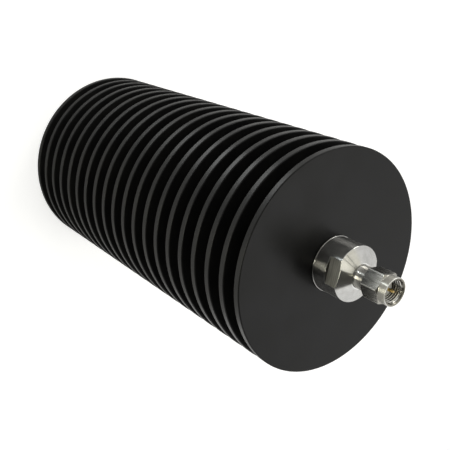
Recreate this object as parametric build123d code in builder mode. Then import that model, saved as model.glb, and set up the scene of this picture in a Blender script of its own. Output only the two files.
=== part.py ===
from build123d import *
import os

# A coaxial dummy load: a turned, finned aluminium heat sink with a plug connector screwed into its front face
# and, in a blind bore behind it, a resistor chip on a copper heat spreader.
# It stands on the flat rear fin, with the common axis along +Z and the plug on top.

# Clearances, and the overrun of cutting shapes past the surfaces that they cut
RUN = 0.05
SLIP = 0.02
GASKET_CLEARANCE = 0.1
SPRING_CLEARANCE = 0.15
OVER = 1.0

# Heat sink
FIN_DIAMETER = 65.0
FIN_COUNT = 20
FIN_PITCH = 6.4
FIN_THICKNESS = 2.0
FIN_EDGE = 0.35
FIN_ROOT = 1.0
CORE_DIAMETER = 34.0
FACE = (FIN_COUNT - 1) * FIN_PITCH + FIN_THICKNESS

# Coaxial line inside: a 1.27 mm conductor in 4.12 mm of resin, then in 2.92 mm of air
LINE_RADIUS = 0.635
RESIN_RADIUS = 2.06
AIR_RADIUS = 1.46
SHELL_WALL = 0.24
SHELL_RADIUS = RESIN_RADIUS + SHELL_WALL

# Connector body, heights measured up from the front face
BODY_DIAMETER = 15.875
BODY_EDGE = 8.75
BASE_CHAMFER = 0.3
LIP_STEP = 0.1
LIP_HEIGHT = 0.6
LIP_RADIUS = BODY_DIAMETER / 2 + LIP_STEP
FLAT_WIDTH = 14.0
FLAT_START = 5.0
CONE_RISE = 2.0
CONE_END = BODY_EDGE + CONE_RISE
CONE_END_RADIUS = 3.7
NECK_GROOVE = 0.4
NECK_GROOVE_DEPTH = 0.25
NECK_LENGTH = 3.2
NECK_END = CONE_END + NECK_LENGTH
NECK_SHOULDER = 0.35
JOURNAL_WALL = 0.7
JOURNAL_RADIUS = SHELL_RADIUS + JOURNAL_WALL
JOURNAL_LENGTH = 2.85
JOURNAL_END = NECK_END + JOURNAL_LENGTH
NECK_RADIUS = JOURNAL_RADIUS + NECK_SHOULDER
NECK_GROOVE_RADIUS = NECK_RADIUS - NECK_GROOVE_DEPTH
RING_GROOVE_DEPTH = 0.4
RING_GROOVE_RADIUS = JOURNAL_RADIUS - RING_GROOVE_DEPTH
RING_GROOVE_OFFSET = 1.05
RING_GROOVE_START = NECK_END + RING_GROOVE_OFFSET
RING_GROOVE = 0.7

# Plug interface: 1/4-36 nut thread on a 5/16 in hexagon
HEX_WIDTH = 7.9375
HEX_TURN = 33.5
NUT_GAP = 0.15
NUT_LENGTH = 7.95
NUT_START = NECK_END + NUT_GAP
NUT_END = NUT_START + NUT_LENGTH
COLLAR_RADIUS = 3.93
COLLAR_LENGTH = 2.3
COLLAR_START = NUT_END - COLLAR_LENGTH
NUT_REAR_RADIUS = 3.92
NUT_CHAMFER_SLOPE = 0.577
NUT_EDGE = 0.3
THREAD_MINOR = 5.66
MOUTH_DEPTH = 1.1
MOUTH_RADIUS = 3.45
THREAD_END = NUT_END - MOUTH_DEPTH
NUT_RELIEF = 0.3
NUT_RELIEF_RADIUS = JOURNAL_RADIUS + NUT_RELIEF
RING_OUTER_RADIUS = NUT_RELIEF_RADIUS + RUN
NUT_GROOVE_CLEARANCE = 0.07
NUT_GROOVE_RADIUS = RING_OUTER_RADIUS + NUT_GROOVE_CLEARANCE
RING_GAP = 1.1
GASKET_THICKNESS = 0.8
GASKET_EDGE = 0.2
THREAD_START = JOURNAL_END + GASKET_THICKNESS + GASKET_CLEARANCE
REFERENCE_DEPTH = 2.95
REFERENCE_PLANE = NUT_END - REFERENCE_DEPTH
SHELL_CHAMFER = 0.08
SHELL_SEAT = 4.4
SHELL_START = JOURNAL_END - SHELL_SEAT
PIN_LENGTH = 2.55
PIN_TIP = REFERENCE_PLANE + PIN_LENGTH
PIN_RADIUS = 0.457
PIN_POINT = 0.55
PIN_NOSE = 0.12
PIN_NOSE_RADIUS = 0.28
PIN_END_RADIUS = 0.14

# Inside of the body
RESIN_START = 6.0
BARB_RADIUS = 0.85
BARB_OFFSET = 3.0
BARB_START = RESIN_START + BARB_OFFSET
BARB_LENGTH = 0.8
CHAMBER_RADIUS = 3.2
CHAMBER_END = 3.0
BEAD_THICKNESS = 1.6
BEAD_START = CHAMBER_END - BEAD_THICKNESS
BEAD_HOLE_CIRCLE = 1.9
BEAD_HOLE = 0.45
BEAD_HOLE_COUNT = 4
SLEEVE_SLOT = 0.8
SLEEVE_SLOT_DEPTH = 1.0

# Threaded spigot of the body, in the heat sink's bore, depths measured down from the front face
PILOT_RADIUS = 7.0
PILOT_DEPTH = 3.0
THREAD_RADIUS = 6.7
SPIGOT_DEPTH = 11.0
THREAD_RELIEF = 0.6
SEAL_GROOVE_TOP = 0.7
SEAL_GROOVE = 1.2
SEAL_SECTION = 0.48
SEAL_GROOVE_DEPTH = 0.95
SEAL_GROOVE_RADIUS = PILOT_RADIUS - SEAL_GROOVE_DEPTH

# Heat spreader and the resistor on it
BORE_RADIUS = 6.4
BORE_DEPTH = 46.0
SPREADER_RADIUS = BORE_RADIUS - SLIP
SPRING_HEIGHT = 1.2
SPRING_THICKNESS = 0.4
SPRING_SLANT = 0.1
SPREADER_TOP = SPIGOT_DEPTH + SPRING_HEIGHT
SPREADER_BOSS = CHAMBER_RADIUS - 4 * RUN
BRIDGE = 2.0
BRIDGE_DEPTH = SPREADER_TOP + BRIDGE
COVER_LENGTH = 10.3
COVER_END = BRIDGE_DEPTH + COVER_LENGTH
SHELF = 2.2
FOIL = 0.1
FLANGE_LENGTH = 11.0
FLANGE_WIDTH = 7.0
FLANGE_THICKNESS = 1.2
FLANGE_OFFSET = 2.0
FLANGE_DEPTH = COVER_END + FLANGE_OFFSET + FLANGE_WIDTH / 2
SHELF_REST = 1.5
STEP_END = FLANGE_DEPTH + FLANGE_WIDTH / 2 + SHELF_REST
CHIP_LENGTH = 4.6
CHIP_WIDTH = 5.5
CHIP_THICKNESS = 0.8
CHIP_OFFSET = 3.0
CHIP_DEPTH = COVER_END + CHIP_OFFSET + CHIP_WIDTH / 2
RIBBON_WIDTH = 1.0
RIBBON_THICKNESS = 0.1
RIBBON_ON_PIN = 2.0
RIBBON_ON_CHIP = 1.7
RIBBON_START = COVER_END - RIBBON_ON_PIN
RIBBON_END = CHIP_DEPTH - CHIP_WIDTH / 2 + RIBBON_ON_CHIP
LID_LENGTH = 4.2
LID_WIDTH = 3.6
LID_THICKNESS = 0.8
LID_CHAMFER = 0.15
LID_DEPTH = RIBBON_END + 2 * RUN + LID_WIDTH / 2
JOINING_RADIUS = 0.35
JOINING_LENGTH = 2.0
SOCKET_TOP = 4.0
SOCKET_CLEARANCE = 0.2
SOCKET_END = BRIDGE_DEPTH - SOCKET_CLEARANCE
SOCKET_BORE = 0.36
SOCKET_SLIT = 0.16
SOCKET_SLIT_LENGTH = 3.0
LINE_PIN_TOP = SOCKET_END - JOINING_LENGTH
LINE_PIN_OFFSET = 0.5
LINE_PIN_END = COVER_END - LINE_PIN_OFFSET

# Small screws and the dowel
SCREW_RADIUS = 0.78
SCREW_HOLE = 0.85
SCREW_HEAD = 1.4
SCREW_HEAD_HEIGHT = 1.3
SCREW_SOCKET = 1.3
SCREW_SOCKET_DEPTH = 0.6
FLANGE_SCREW_X = 4.0
FLANGE_SCREW_LENGTH = 3.4
WASHER_RADIUS = 1.45
WASHER_THICKNESS = 0.3
COVER_SCREW_X = 3.75
COVER_SCREW_OFFSET = 5.2
COVER_SCREW_DEPTH = BRIDGE_DEPTH + COVER_SCREW_OFFSET
COVER_SEAT = 2.2
COVER_SCREW_LENGTH = 5.4
DOWEL_RADIUS = 0.75
DOWEL_LENGTH = 4.0
DOWEL_Y = -4.0
DOWEL_CHAMFER = 0.15


def half_section(*points):
    """A closed outline in the XZ plane from (radius, height) pairs, ready to be turned about Z."""
    with BuildSketch(Plane.XZ) as outline:
        with BuildLine():
            Polyline(*points, close=True)
        make_face()
    return outline.sketch


def bar(radius, inner, bottom, top):
    """The half-section of a plain ring or rod between two heights."""
    return half_section((inner, bottom), (radius, bottom), (radius, top), (inner, top))


os.makedirs("parts", exist_ok=True)

# Heat sink: one turned piece, with round fin edges, filleted roots and the stepped blind bore
FIN_RADIUS = FIN_DIAMETER / 2
CORE_RADIUS = CORE_DIAMETER / 2
BORE_FLOOR = FACE - BORE_DEPTH

with BuildPart() as heat_sink:
    with BuildSketch(Plane.XZ) as fin_section:
        with BuildLine():
            fin_points = [(0, 0)]
            for index in range(FIN_COUNT):
                rear = index * FIN_PITCH
                if index > 0:
                    fin_points.append((CORE_RADIUS, rear))
                fin_points.append((FIN_RADIUS, rear))
                fin_points.append((FIN_RADIUS, rear + FIN_THICKNESS))
                if index < FIN_COUNT - 1:
                    fin_points.append((CORE_RADIUS, rear + FIN_THICKNESS))
            fin_points.append((0, FACE))
            Polyline(*fin_points, close=True)
        make_face()
        rim_corners = [v for v in fin_section.vertices() if v.X > FIN_RADIUS - SLIP]
        fillet(rim_corners, FIN_EDGE)
        root_corners = [v for v in fin_section.vertices() if abs(v.X - CORE_RADIUS) < SLIP]
        fillet(root_corners, FIN_ROOT)
    revolve(axis=Axis.Z)
    bore = half_section(
        (0, BORE_FLOOR),
        (BORE_RADIUS, BORE_FLOOR),
        (BORE_RADIUS, FACE - SPIGOT_DEPTH - THREAD_RELIEF),
        (THREAD_RADIUS + SLIP, FACE - SPIGOT_DEPTH - THREAD_RELIEF),
        (THREAD_RADIUS + SLIP, FACE - PILOT_DEPTH),
        (PILOT_RADIUS + SLIP, FACE - PILOT_DEPTH),
        (PILOT_RADIUS + SLIP, FACE),
        (0, FACE),
    )
    revolve(bore, Axis.Z, mode=Mode.SUBTRACT)
    with BuildSketch(Plane.XY.offset(BORE_FLOOR)):
        with Locations((0, DOWEL_Y)):
            Circle(DOWEL_RADIUS)
    extrude(amount=-DOWEL_LENGTH / 2, mode=Mode.SUBTRACT)
heat_sink.part.label = "heat_sink"

# Connector body: lip, base cylinder with wrench flats, shallow cone, neck and nut journal, threaded spigot
with BuildPart() as connector_body:
    spigot_end = FACE - SPIGOT_DEPTH
    seal_top = FACE - SEAL_GROOVE_TOP
    groove_start = FACE + RING_GROOVE_START
    body_section = half_section(
        (CHAMBER_RADIUS, spigot_end),
        (THREAD_RADIUS, spigot_end),
        (THREAD_RADIUS, FACE - PILOT_DEPTH + SLIP),
        (PILOT_RADIUS, FACE - PILOT_DEPTH + SLIP),
        (PILOT_RADIUS, seal_top - SEAL_GROOVE),
        (SEAL_GROOVE_RADIUS, seal_top - SEAL_GROOVE),
        (SEAL_GROOVE_RADIUS, seal_top),
        (PILOT_RADIUS, seal_top),
        (PILOT_RADIUS, FACE),
        (LIP_RADIUS - BASE_CHAMFER, FACE),
        (LIP_RADIUS, FACE + BASE_CHAMFER),
        (LIP_RADIUS, FACE + LIP_HEIGHT),
        (BODY_DIAMETER / 2, FACE + LIP_HEIGHT),
        (BODY_DIAMETER / 2, FACE + BODY_EDGE),
        (CONE_END_RADIUS, FACE + CONE_END),
        (NECK_GROOVE_RADIUS, FACE + CONE_END),
        (NECK_GROOVE_RADIUS, FACE + CONE_END + NECK_GROOVE),
        (NECK_RADIUS, FACE + CONE_END + NECK_GROOVE),
        (NECK_RADIUS, FACE + NECK_END),
        (JOURNAL_RADIUS, FACE + NECK_END),
        (JOURNAL_RADIUS, groove_start),
        (RING_GROOVE_RADIUS, groove_start),
        (RING_GROOVE_RADIUS, groove_start + RING_GROOVE),
        (JOURNAL_RADIUS, groove_start + RING_GROOVE),
        (JOURNAL_RADIUS, FACE + JOURNAL_END),
        (SHELL_RADIUS, FACE + JOURNAL_END),
        (SHELL_RADIUS, FACE + SHELL_START),
        (RESIN_RADIUS, FACE + SHELL_START),
        (RESIN_RADIUS, FACE + RESIN_START),
        (AIR_RADIUS, FACE + RESIN_START),
        (AIR_RADIUS, FACE + CHAMBER_END),
        (CHAMBER_RADIUS, FACE + CHAMBER_END),
    )
    revolve(body_section, Axis.Z)
    with BuildSketch(Plane.XY.offset(FACE + FLAT_START)):
        Rectangle(BODY_DIAMETER + OVER, BODY_DIAMETER + OVER)
        Rectangle(BODY_DIAMETER + OVER, FLAT_WIDTH, mode=Mode.SUBTRACT)
    extrude(amount=CONE_END - FLAT_START, mode=Mode.SUBTRACT)
connector_body.part.label = "connector_body"

# Coupling nut: hexagon with a turned collar, chamfered both ends, bored for the thread and the retaining ring
with BuildPart() as coupling_nut:
    corner_radius = HEX_WIDTH / 3**0.5
    front_drop = (corner_radius - COLLAR_RADIUS) * NUT_CHAMFER_SLOPE
    rear_drop = (corner_radius - NUT_REAR_RADIUS) * NUT_CHAMFER_SLOPE
    with BuildSketch(Plane.XY.offset(FACE + NUT_START)):
        RegularPolygon(HEX_WIDTH / 2, 6, major_radius=False, rotation=HEX_TURN)
    extrude(amount=NUT_END - NUT_START)
    envelope = half_section(
        (0, FACE + NUT_START),
        (NUT_REAR_RADIUS, FACE + NUT_START),
        (corner_radius + SLIP, FACE + NUT_START + rear_drop),
        (corner_radius + SLIP, FACE + COLLAR_START - front_drop),
        (COLLAR_RADIUS, FACE + COLLAR_START),
        (COLLAR_RADIUS, FACE + NUT_END - NUT_EDGE),
        (COLLAR_RADIUS - NUT_EDGE, FACE + NUT_END),
        (0, FACE + NUT_END),
    )
    revolve(envelope, Axis.Z, mode=Mode.INTERSECT)
    nut_bore = half_section(
        (0, FACE + NUT_START - OVER),
        (JOURNAL_RADIUS + RUN, FACE + NUT_START - OVER),
        (JOURNAL_RADIUS + RUN, FACE + RING_GROOVE_START - RUN),
        (NUT_GROOVE_RADIUS, FACE + RING_GROOVE_START - RUN),
        (NUT_GROOVE_RADIUS, FACE + RING_GROOVE_START + RING_GROOVE + RUN),
        (NUT_RELIEF_RADIUS, FACE + RING_GROOVE_START + RING_GROOVE + RUN),
        (NUT_RELIEF_RADIUS, FACE + THREAD_START),
        (THREAD_MINOR / 2, FACE + THREAD_START),
        (THREAD_MINOR / 2, FACE + THREAD_END),
        (MOUTH_RADIUS, FACE + NUT_END),
        (MOUTH_RADIUS, FACE + NUT_END + OVER),
        (0, FACE + NUT_END + OVER),
    )
    revolve(nut_bore, Axis.Z, mode=Mode.SUBTRACT)
coupling_nut.part.label = "coupling_nut"

# Split spring ring that holds the nut on the body
with BuildPart() as nut_retaining_ring:
    ring_start = FACE + RING_GROOVE_START + RUN
    ring_end = FACE + RING_GROOVE_START + RING_GROOVE - RUN
    revolve(bar(RING_OUTER_RADIUS, RING_GROOVE_RADIUS, ring_start, ring_end), Axis.Z)
    with BuildSketch(Plane.XY.offset(ring_start)):
        with Locations((RING_OUTER_RADIUS, 0)):
            Rectangle(RING_OUTER_RADIUS, RING_GAP)
    extrude(amount=RING_GROOVE, mode=Mode.SUBTRACT)
nut_retaining_ring.part.label = "nut_retaining_ring"

# Rubber washer that the mating socket presses on
with BuildPart() as mating_gasket:
    gasket_start = FACE + JOURNAL_END
    gasket_radius = NUT_RELIEF_RADIUS - GASKET_CLEARANCE
    revolve(bar(gasket_radius, SHELL_RADIUS, gasket_start, gasket_start + GASKET_THICKNESS), Axis.Z)
    fillet(mating_gasket.edges().group_by(Axis.Z)[-1], GASKET_EDGE)
mating_gasket.part.label = "mating_gasket"

# Outer contact: thin sleeve pressed into the body, its front end is the reference plane
with BuildPart() as outer_contact:
    revolve(bar(SHELL_RADIUS, RESIN_RADIUS, FACE + SHELL_START, FACE + REFERENCE_PLANE), Axis.Z)
    chamfer(outer_contact.edges().group_by(Axis.Z)[-1].sort_by(SortBy.LENGTH)[-1], SHELL_CHAMFER)
outer_contact.part.label = "outer_contact"

# Centre contact: plug pin with a rounded point, barbed shank, and a thinner rear end for the spring socket
with BuildPart() as centre_contact:
    contact_end = FACE - SOCKET_TOP
    contact_section = half_section(
        (0, contact_end - JOINING_LENGTH),
        (JOINING_RADIUS, contact_end - JOINING_LENGTH),
        (JOINING_RADIUS, contact_end),
        (LINE_RADIUS, contact_end),
        (LINE_RADIUS, FACE + BARB_START),
        (BARB_RADIUS, FACE + BARB_START),
        (LINE_RADIUS, FACE + BARB_START + BARB_LENGTH),
        (LINE_RADIUS, FACE + REFERENCE_PLANE),
        (PIN_RADIUS, FACE + REFERENCE_PLANE),
        (PIN_RADIUS, FACE + PIN_TIP - PIN_POINT),
        (PIN_NOSE_RADIUS, FACE + PIN_TIP - PIN_NOSE),
        (PIN_END_RADIUS, FACE + PIN_TIP),
        (0, FACE + PIN_TIP),
    )
    revolve(contact_section, Axis.Z)
centre_contact.part.label = "centre_contact"

# Front insulator: fluoropolymer bush around the contact, flush with the reference plane
with BuildPart() as front_insulator:
    revolve(bar(RESIN_RADIUS, 0, FACE + RESIN_START, FACE + REFERENCE_PLANE), Axis.Z)
    add(centre_contact.part, mode=Mode.SUBTRACT)
front_insulator.part.label = "front_insulator"

# Support bead that centres the line in the body, with four holes that lower its capacitance
with BuildPart() as support_bead:
    revolve(bar(CHAMBER_RADIUS, LINE_RADIUS, FACE + BEAD_START, FACE + CHAMBER_END), Axis.Z)
    with BuildSketch(Plane.XY.offset(FACE + BEAD_START)):
        with PolarLocations(BEAD_HOLE_CIRCLE, BEAD_HOLE_COUNT):
            Circle(BEAD_HOLE)
    extrude(amount=CHAMBER_END - BEAD_START, mode=Mode.SUBTRACT)
support_bead.part.label = "support_bead"

# Clamp sleeve screwed in behind the bead, its bore is the line's outer conductor
with BuildPart() as bead_clamp_sleeve:
    revolve(bar(CHAMBER_RADIUS, AIR_RADIUS, FACE - SPIGOT_DEPTH, FACE + BEAD_START), Axis.Z)
    with BuildSketch(Plane.XY.offset(FACE - SPIGOT_DEPTH)):
        Rectangle(2 * CHAMBER_RADIUS + OVER, SLEEVE_SLOT)
    extrude(amount=SLEEVE_SLOT_DEPTH, mode=Mode.SUBTRACT)
bead_clamp_sleeve.part.label = "bead_clamp_sleeve"

# O-ring in the body's pilot, sealing the bore
with BuildPart() as body_o_ring:
    with BuildSketch(Plane.XZ):
        with Locations((SEAL_GROOVE_RADIUS + SEAL_SECTION, seal_top - SEAL_GROOVE / 2)):
            Circle(SEAL_SECTION)
    revolve(axis=Axis.Z)
body_o_ring.part.label = "body_o_ring"

# Spring socket that joins the plug's contact to the line pin, slotted at its lower end
with BuildPart() as contact_socket:
    revolve(bar(LINE_RADIUS, SOCKET_BORE, FACE - SOCKET_END, FACE - SOCKET_TOP), Axis.Z)
    with BuildSketch(Plane.XY.offset(FACE - SOCKET_END)):
        Rectangle(2 * LINE_RADIUS + OVER, SOCKET_SLIT)
        Rectangle(SOCKET_SLIT, 2 * LINE_RADIUS + OVER)
    extrude(amount=SOCKET_SLIT_LENGTH, mode=Mode.SUBTRACT)
contact_socket.part.label = "contact_socket"

# Line pin, with its rear end milled to half for the ribbon
with BuildPart() as line_pin:
    pin_section = half_section(
        (0, FACE - LINE_PIN_END),
        (LINE_RADIUS, FACE - LINE_PIN_END),
        (LINE_RADIUS, FACE - SOCKET_END),
        (JOINING_RADIUS, FACE - SOCKET_END),
        (JOINING_RADIUS, FACE - LINE_PIN_TOP),
        (0, FACE - LINE_PIN_TOP),
    )
    revolve(pin_section, Axis.Z)
    with BuildSketch(Plane.XY.offset(FACE - LINE_PIN_END)):
        with Locations((0, LINE_RADIUS - RIBBON_THICKNESS)):
            Rectangle(2 * LINE_RADIUS + OVER, 2 * LINE_RADIUS)
    extrude(amount=LINE_PIN_END - RIBBON_START, mode=Mode.SUBTRACT)
line_pin.part.label = "line_pin"

# Heat spreader: copper bar, stepped down to the line's height and then to the resistor's shelf
with BuildPart() as heat_spreader:
    spreader_section = half_section(
        (0, BORE_FLOOR),
        (SPREADER_RADIUS, BORE_FLOOR),
        (SPREADER_RADIUS, FACE - SPREADER_TOP),
        (SPREADER_BOSS, FACE - SPREADER_TOP),
        (SPREADER_BOSS, FACE - SPIGOT_DEPTH - RUN),
        (0, FACE - SPIGOT_DEPTH - RUN),
    )
    revolve(spreader_section, Axis.Z)
    with BuildSketch(Plane.XY.offset(FACE - STEP_END)):
        with Locations((0, SPREADER_RADIUS)):
            Rectangle(2 * SPREADER_RADIUS + OVER, 2 * SPREADER_RADIUS)
    extrude(amount=STEP_END - BRIDGE_DEPTH, mode=Mode.SUBTRACT)
    with BuildSketch(Plane.XY.offset(FACE - STEP_END)):
        with Locations((0, SPREADER_RADIUS - SHELF)):
            Rectangle(2 * SPREADER_RADIUS + OVER, 2 * SPREADER_RADIUS)
    extrude(amount=STEP_END - COVER_END, mode=Mode.SUBTRACT)
    with BuildSketch(Plane.XY.offset(FACE - COVER_END)):
        Circle(AIR_RADIUS)
    extrude(amount=COVER_END, mode=Mode.SUBTRACT)
    with BuildSketch(Plane.XY.offset(BORE_FLOOR)):
        with Locations((0, DOWEL_Y)):
            Circle(DOWEL_RADIUS)
    extrude(amount=DOWEL_LENGTH / 2, mode=Mode.SUBTRACT)
    with BuildSketch(Plane.XZ.offset(SHELF)):
        with Locations((FLANGE_SCREW_X, FACE - FLANGE_DEPTH), (-FLANGE_SCREW_X, FACE - FLANGE_DEPTH)):
            Circle(SCREW_RADIUS)
    extrude(amount=FLANGE_SCREW_LENGTH - FLANGE_THICKNESS - FOIL - WASHER_THICKNESS, mode=Mode.SUBTRACT)
    with BuildSketch(Plane.XZ):
        with Locations((COVER_SCREW_X, FACE - COVER_SCREW_DEPTH), (-COVER_SCREW_X, FACE - COVER_SCREW_DEPTH)):
            Circle(SCREW_RADIUS)
    extrude(amount=COVER_SCREW_LENGTH - COVER_SEAT, mode=Mode.SUBTRACT)
heat_spreader.part.label = "heat_spreader"

# Cover over the line, held by two screws
with BuildPart() as line_cover:
    with BuildSketch(Plane.XY.offset(FACE - COVER_END)):
        Circle(SPREADER_RADIUS)
        Circle(AIR_RADIUS, mode=Mode.SUBTRACT)
        with Locations((0, -SPREADER_RADIUS)):
            Rectangle(2 * SPREADER_RADIUS + OVER, 2 * SPREADER_RADIUS, mode=Mode.SUBTRACT)
    extrude(amount=COVER_END - BRIDGE_DEPTH)
    with BuildSketch(Plane.XZ):
        with Locations((COVER_SCREW_X, FACE - COVER_SCREW_DEPTH), (-COVER_SCREW_X, FACE - COVER_SCREW_DEPTH)):
            Circle(SCREW_HOLE)
    extrude(amount=-SPREADER_RADIUS, mode=Mode.SUBTRACT)
    with BuildSketch(Plane.XZ.offset(-COVER_SEAT)):
        with Locations((COVER_SCREW_X, FACE - COVER_SCREW_DEPTH), (-COVER_SCREW_X, FACE - COVER_SCREW_DEPTH)):
            Circle(SCREW_HEAD + RUN)
    extrude(amount=-SPREADER_RADIUS, mode=Mode.SUBTRACT)
line_cover.part.label = "line_cover"


def cap_screws(x, seat, depth, length):
    """Two socket-head screws side by side, pointing to -Y, with their heads seated at the given Y."""
    with BuildPart() as screws:
        with BuildSketch(Plane.XZ.offset(-seat)):
            with Locations((x, FACE - depth), (-x, FACE - depth)):
                Circle(SCREW_RADIUS)
        extrude(amount=length)
        with BuildSketch(Plane.XZ.offset(-seat)):
            with Locations((x, FACE - depth), (-x, FACE - depth)):
                Circle(SCREW_HEAD)
        extrude(amount=-SCREW_HEAD_HEIGHT)
        with BuildSketch(Plane.XZ.offset(-seat - SCREW_HEAD_HEIGHT)):
            with Locations((x, FACE - depth), (-x, FACE - depth)):
                RegularPolygon(SCREW_SOCKET / 2, 6, major_radius=False)
        extrude(amount=SCREW_SOCKET_DEPTH, mode=Mode.SUBTRACT)
    return screws


cover_screws = cap_screws(COVER_SCREW_X, COVER_SEAT, COVER_SCREW_DEPTH, COVER_SCREW_LENGTH)
cover_screws.part.label = "cover_screws"

# Resistor: nickel-plated flange on a soft metal foil, ceramic chip, lid and the gold ribbon from the line pin
FOIL_TOP = -SHELF + FOIL
FLANGE_TOP = FOIL_TOP + FLANGE_THICKNESS
CHIP_TOP = FLANGE_TOP + CHIP_THICKNESS

with BuildPart() as thermal_foil:
    with BuildSketch(Plane.XZ.offset(SHELF)):
        with Locations((0, FACE - FLANGE_DEPTH)):
            Rectangle(FLANGE_LENGTH, FLANGE_WIDTH)
        with Locations((FLANGE_SCREW_X, FACE - FLANGE_DEPTH), (-FLANGE_SCREW_X, FACE - FLANGE_DEPTH)):
            Circle(SCREW_HOLE, mode=Mode.SUBTRACT)
    extrude(amount=-FOIL)
thermal_foil.part.label = "thermal_foil"

with BuildPart() as resistor_flange:
    with BuildSketch(Plane.XZ.offset(-FOIL_TOP)):
        with Locations((0, FACE - FLANGE_DEPTH)):
            Rectangle(FLANGE_LENGTH, FLANGE_WIDTH)
        with Locations((FLANGE_SCREW_X, FACE - FLANGE_DEPTH), (-FLANGE_SCREW_X, FACE - FLANGE_DEPTH)):
            Circle(SCREW_HOLE, mode=Mode.SUBTRACT)
    extrude(amount=-FLANGE_THICKNESS)
resistor_flange.part.label = "resistor_flange"

with BuildPart() as resistor_chip:
    with BuildSketch(Plane.XZ.offset(-FLANGE_TOP)):
        with Locations((0, FACE - CHIP_DEPTH)):
            Rectangle(CHIP_LENGTH, CHIP_WIDTH)
    extrude(amount=-CHIP_THICKNESS)
resistor_chip.part.label = "resistor_chip"

with BuildPart() as resistor_lid:
    with BuildSketch(Plane.XZ.offset(-CHIP_TOP)):
        with Locations((0, FACE - LID_DEPTH)):
            Rectangle(LID_LENGTH, LID_WIDTH)
    extrude(amount=-LID_THICKNESS)
    chamfer(resistor_lid.edges().group_by(Axis.Y)[-1], LID_CHAMFER)
resistor_lid.part.label = "resistor_lid"

with BuildPart() as input_ribbon:
    with BuildSketch(Plane.XZ.offset(-CHIP_TOP)):
        with Locations((0, FACE - (RIBBON_START + RIBBON_END) / 2)):
            Rectangle(RIBBON_WIDTH, RIBBON_END - RIBBON_START)
    extrude(amount=-RIBBON_THICKNESS)
input_ribbon.part.label = "input_ribbon"

with BuildPart() as flange_washers:
    with BuildSketch(Plane.XZ.offset(-FLANGE_TOP)):
        with Locations((FLANGE_SCREW_X, FACE - FLANGE_DEPTH), (-FLANGE_SCREW_X, FACE - FLANGE_DEPTH)):
            Circle(WASHER_RADIUS)
            Circle(SCREW_HOLE, mode=Mode.SUBTRACT)
    extrude(amount=-WASHER_THICKNESS)
flange_washers.part.label = "flange_washers"

flange_screws = cap_screws(FLANGE_SCREW_X, FLANGE_TOP + WASHER_THICKNESS, FLANGE_DEPTH, FLANGE_SCREW_LENGTH)
flange_screws.part.label = "flange_screws"

# Disc spring that presses the spreader on the bore's floor
with BuildPart() as disc_spring:
    spring_top = FACE - SPIGOT_DEPTH
    spring_inner = CHAMBER_RADIUS + SPRING_CLEARANCE
    spring_outer = BORE_RADIUS - SPRING_CLEARANCE
    spring_section = half_section(
        (spring_inner, spring_top - SPRING_THICKNESS),
        (spring_outer - SPRING_SLANT, FACE - SPREADER_TOP),
        (spring_outer, FACE - SPREADER_TOP + SPRING_THICKNESS),
        (spring_inner + SPRING_SLANT, spring_top),
    )
    revolve(spring_section, Axis.Z)
disc_spring.part.label = "disc_spring"

# Dowel that keeps the spreader from turning
with BuildPart() as locating_pin:
    with BuildSketch(Plane.XY.offset(BORE_FLOOR - DOWEL_LENGTH / 2)):
        with Locations((0, DOWEL_Y)):
            Circle(DOWEL_RADIUS)
    extrude(amount=DOWEL_LENGTH)
    chamfer(locating_pin.edges().filter_by(GeomType.CIRCLE), DOWEL_CHAMFER)
locating_pin.part.label = "locating_pin"

for piece in (
    heat_sink,
    connector_body,
    coupling_nut,
    nut_retaining_ring,
    mating_gasket,
    outer_contact,
    centre_contact,
    front_insulator,
    support_bead,
    bead_clamp_sleeve,
    body_o_ring,
    contact_socket,
    line_pin,
    heat_spreader,
    line_cover,
    cover_screws,
    thermal_foil,
    resistor_flange,
    resistor_chip,
    resistor_lid,
    input_ribbon,
    flange_washers,
    flange_screws,
    disc_spring,
    locating_pin,
):
    export_step(piece.part, "parts/" + piece.part.label + ".step")
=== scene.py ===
# %% [markdown]
# # A coaxial dummy load, dressed for the camera
#
# The object is a turned, finned aluminium heat sink, anodised black, with a small stainless steel plug
# screwed into its front face. The CAD model gives every size and place. This script loads it as a fixed
# frame, makes three of its nodes again where a finer surface is wanted, and gives every piece the finish of
# the real one. The part stands on its flat rear fin, with the common axis along +Z and the plug on top.

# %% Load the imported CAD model
import math

import bpy
import numpy as np
from mathutils import Matrix, Vector


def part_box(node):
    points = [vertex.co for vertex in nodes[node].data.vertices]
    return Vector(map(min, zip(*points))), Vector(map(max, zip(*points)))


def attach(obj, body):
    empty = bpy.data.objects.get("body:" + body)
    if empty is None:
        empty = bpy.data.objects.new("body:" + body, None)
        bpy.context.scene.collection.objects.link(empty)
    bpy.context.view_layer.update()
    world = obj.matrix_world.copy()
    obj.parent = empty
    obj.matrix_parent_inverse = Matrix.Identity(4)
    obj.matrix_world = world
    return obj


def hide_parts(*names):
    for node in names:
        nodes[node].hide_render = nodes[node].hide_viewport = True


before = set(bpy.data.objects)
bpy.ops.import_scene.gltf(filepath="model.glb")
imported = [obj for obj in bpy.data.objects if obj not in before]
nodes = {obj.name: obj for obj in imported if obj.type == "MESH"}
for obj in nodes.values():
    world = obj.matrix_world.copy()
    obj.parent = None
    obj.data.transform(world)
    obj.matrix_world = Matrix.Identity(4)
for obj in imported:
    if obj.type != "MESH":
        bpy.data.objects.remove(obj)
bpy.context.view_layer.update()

MM = 0.001

# %% [markdown]
# ## The camera
#
# The photograph looks down on the plug end at about 48 degrees, from close by: the front face is 200 mm
# from the lens and looks much larger than the rear fin. The camera is also rolled by about 116 degrees, so
# that the upright part lies across the picture. A camera could be aimed with three angles, but a roll this
# large is easier to follow as directions: one vector for where the lens looks and one for the picture's
# upper edge.

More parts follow.
